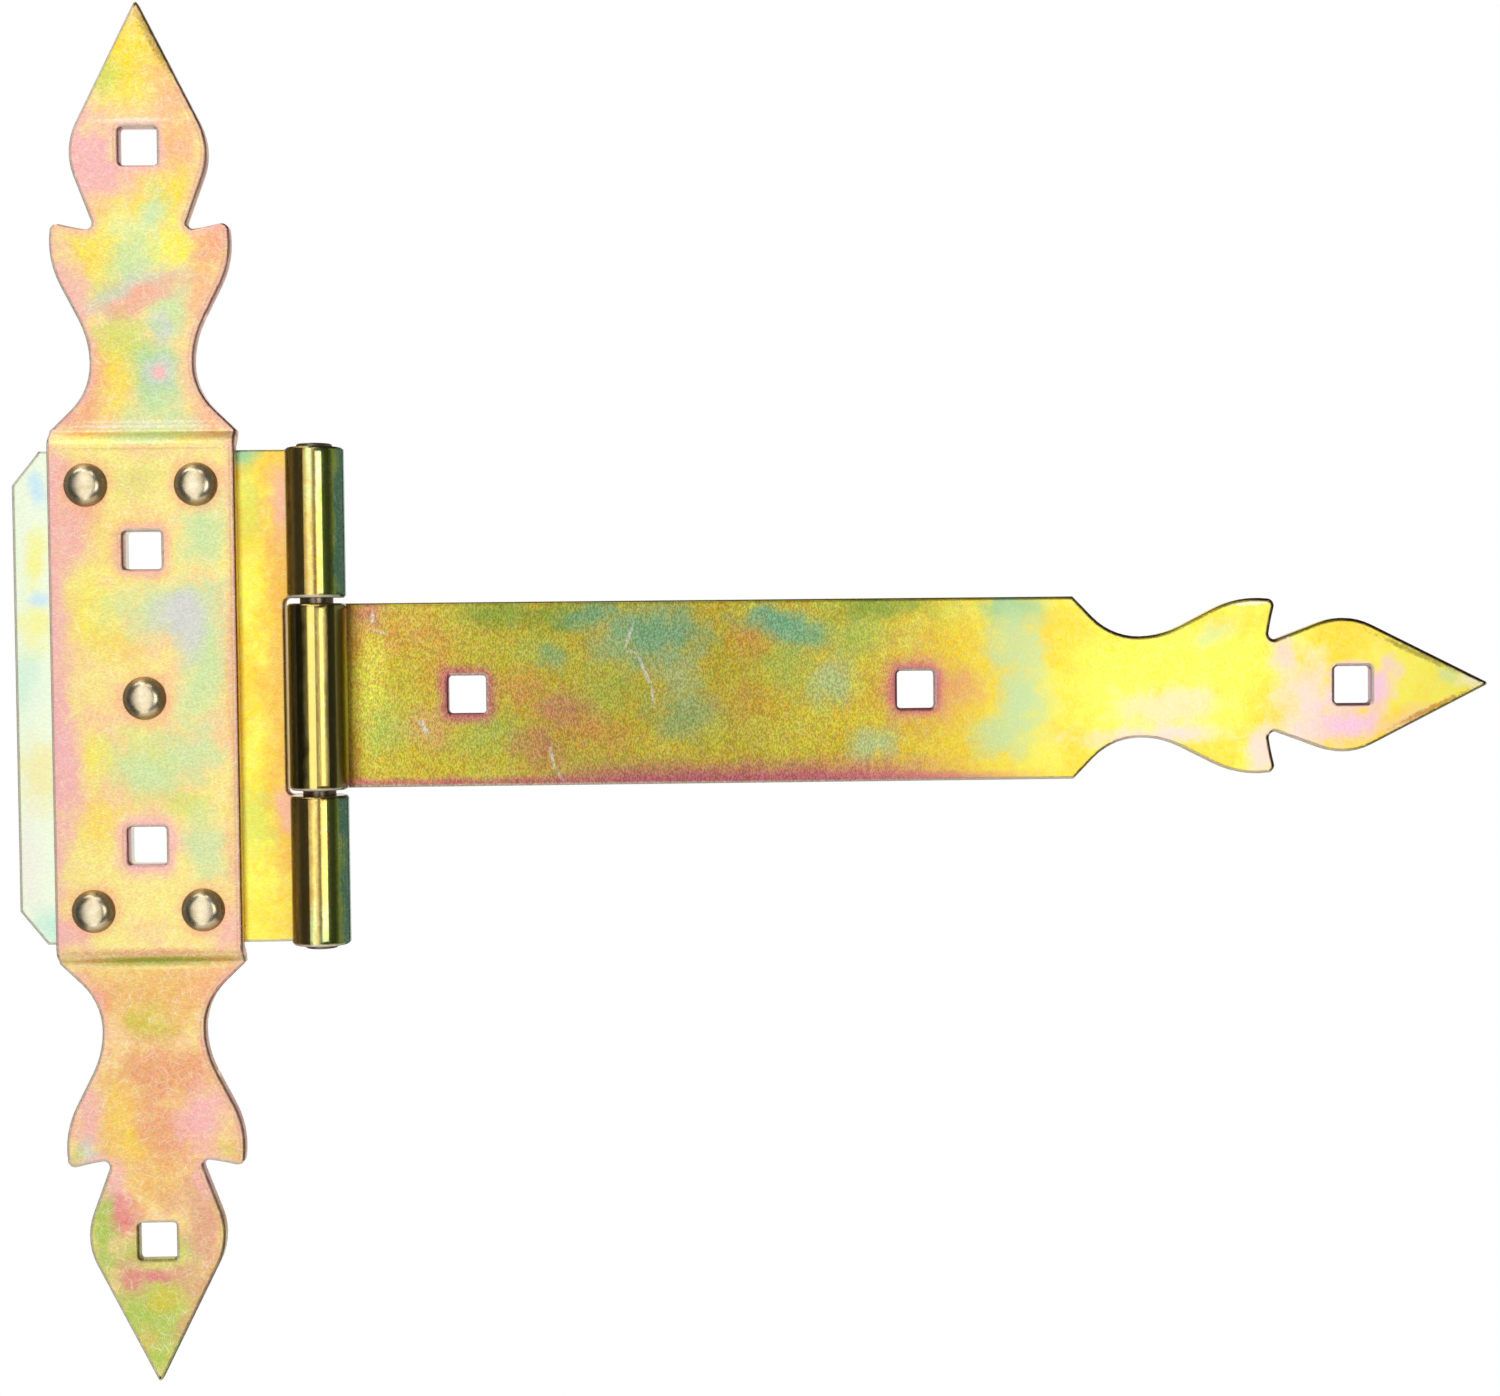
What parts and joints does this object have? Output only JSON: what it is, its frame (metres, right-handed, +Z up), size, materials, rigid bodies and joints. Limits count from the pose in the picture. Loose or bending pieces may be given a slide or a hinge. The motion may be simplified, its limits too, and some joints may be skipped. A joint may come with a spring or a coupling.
{
  "type": "tee hinge",
  "caption": "Tee hinge of steel strip: a long spear-tipped strap turns on a pin in a frame leaf's rolled eyes, and an upright cross plate with spear-shaped ends is riveted over the leaf.",
  "frame": {"origin": "foot of the pin's axis on the mounting plane, at mid height: the point where the strap's flat back begins", "axes": "+X out along the strap, +Y into the door, normal to the mounting plane, +Z up along the pin"},
  "size_m": [0.3613, 0.0141, 0.336],
  "materials": {
    "yellow_zinc": "yellow passivated zinc plate, iridescent and lightly scratched",
    "pin_steel": "plated steel, smooth",
    "rivet_steel": "glossy plated steel dome"
  },
  "bodies": {
    "frame_side": {"frame_leaf": "yellow_zinc", "cross_plate": "yellow_zinc", "pin": "pin_steel", "rivet_top_left": "rivet_steel", "rivet_top_right": "rivet_steel", "rivet_centre": "rivet_steel", "rivet_bottom_left": "rivet_steel", "rivet_bottom_right": "rivet_steel"},
    "strap": {"strap": "yellow_zinc"}
  },
  "joints": [
    {"name": "strap_swing", "type": "hinge", "parent": "frame_side", "child": "strap", "pos_m": [0, -0.00705, 0], "axis": [0, 0, -1], "range_deg": [-95, 180]}
  ]
}
